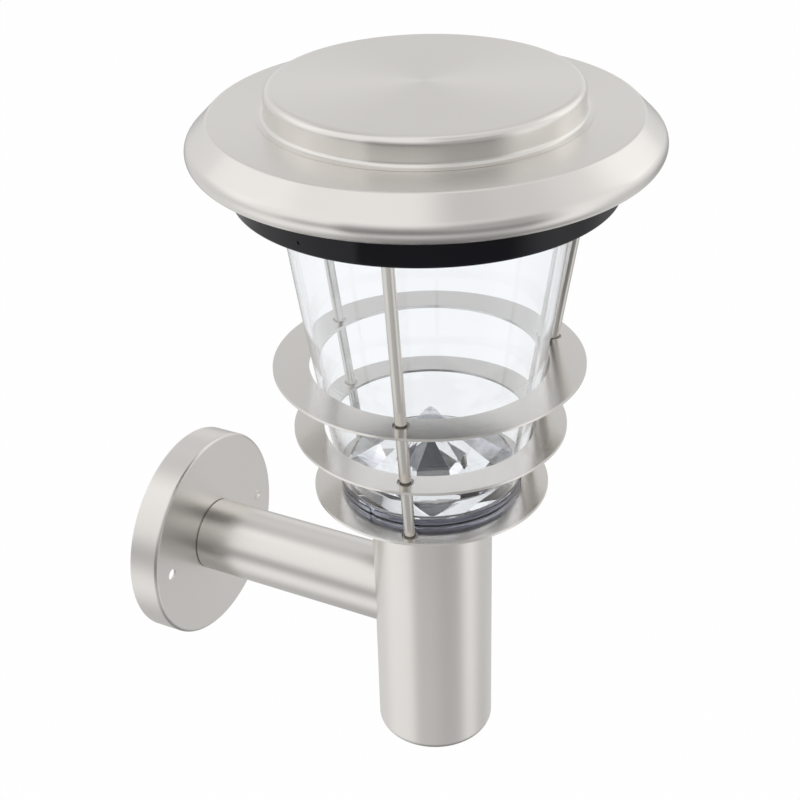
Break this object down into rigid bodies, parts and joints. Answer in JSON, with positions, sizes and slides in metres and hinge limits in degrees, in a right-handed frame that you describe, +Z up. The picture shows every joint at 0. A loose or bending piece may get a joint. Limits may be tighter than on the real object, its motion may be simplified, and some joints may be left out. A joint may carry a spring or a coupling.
{
  "type": "solar wall light",
  "caption": "Solar wall light in brushed stainless steel: clear tapered lens caged by rings and rods under a wide pressed hat, on an upright tube, arm and round wall plate.",
  "frame": {"origin": "centre of the wall plate's rim, on the wall, level with the arm's axis", "axes": "+Z up, +Y into the wall, so the lamp stands at -Y; +X to the right of someone who faces the wall"},
  "size_m": [0.1506, 0.1833, 0.254],
  "materials": {
    "brushed_stainless": "stainless sheet and tube with a fine satin brushing",
    "polished_rod": "drawn stainless rod, bright",
    "zinc_fastener": "zinc plated steel",
    "black_abs": "moulded black ABS, glossy",
    "clear_plastic": "moulded clear plastic",
    "window_glass": "clear flat glass",
    "dark_nut": "dark moulded plastic with facets",
    "seal_rubber": "black rubber",
    "cell_silicon": "dark blue silicon behind a laminate",
    "tray_plastic": "black moulded plastic, fine texture",
    "battery_sleeve": "printed sleeve without lettering",
    "contact_metal": "nickel plated spring steel",
    "bright_reflector": "bright metallised cup",
    "lamp_epoxy": "clear epoxy, warm white",
    "board_laminate": "green board laminate",
    "component_black": "moulded component bodies"
  },
  "bodies": {
    "wall_stand": {"wall_plate": "brushed_stainless", "arm_tube": "brushed_stainless", "arm_end_disc": "zinc_fastener", "arm_bolt": "zinc_fastener", "arm_washer": "zinc_fastener", "body_tube": "brushed_stainless", "tube_bottom": "brushed_stainless", "tube_disc": "zinc_fastener", "lower_ring": "brushed_stainless", "middle_ring": "brushed_stainless", "upper_ring": "brushed_stainless", "rod_back": "polished_rod", "rod_left": "polished_rod", "rod_right": "polished_rod", "ring_welds": "zinc_fastener", "collar_ring": "black_abs", "rod_screws": "zinc_fastener", "lens_cup": "clear_plastic", "light_cone": "clear_plastic", "lens_bolt": "zinc_fastener", "lens_washer": "zinc_fastener", "lens_nut": "dark_nut"},
    "head": {"hat": "brushed_stainless", "chassis": "black_abs", "lens_seal": "seal_rubber", "cell_tray": "tray_plastic", "solar_cell": "cell_silicon", "solar_window": "window_glass", "window_bezel": "black_abs", "head_screws": "zinc_fastener", "battery": "battery_sleeve", "contact_plate": "contact_metal", "contact_spring": "contact_metal", "door_pin": "zinc_fastener", "led_reflector": "bright_reflector", "led_lamp": "lamp_epoxy", "circuit_board": "board_laminate", "board_parts": "component_black", "switch_body": "component_black"},
    "crown": {"crown_cover": "brushed_stainless"},
    "door": {"battery_door": "black_abs"},
    "slider": {"switch_slider": "tray_plastic"}
  },
  "joints": [
    {"name": "head_lift", "type": "slide", "parent": "wall_stand", "child": "head", "axis": [0, 0, 1], "range_m": [0, 0.04]},
    {"name": "crown_lift", "type": "slide", "parent": "head", "child": "crown", "axis": [0, 0, 1], "range_m": [0, 0.02]},
    {"name": "door_swing", "type": "hinge", "parent": "head", "child": "door", "pos_m": [0, -0.1213, 0.1678], "axis": [1, 0, 0], "range_deg": [0, 95]},
    {"name": "switch_slide", "type": "slide", "parent": "head", "child": "slider", "axis": [1, 0, 0], "range_m": [0, 0.004]}
  ]
}
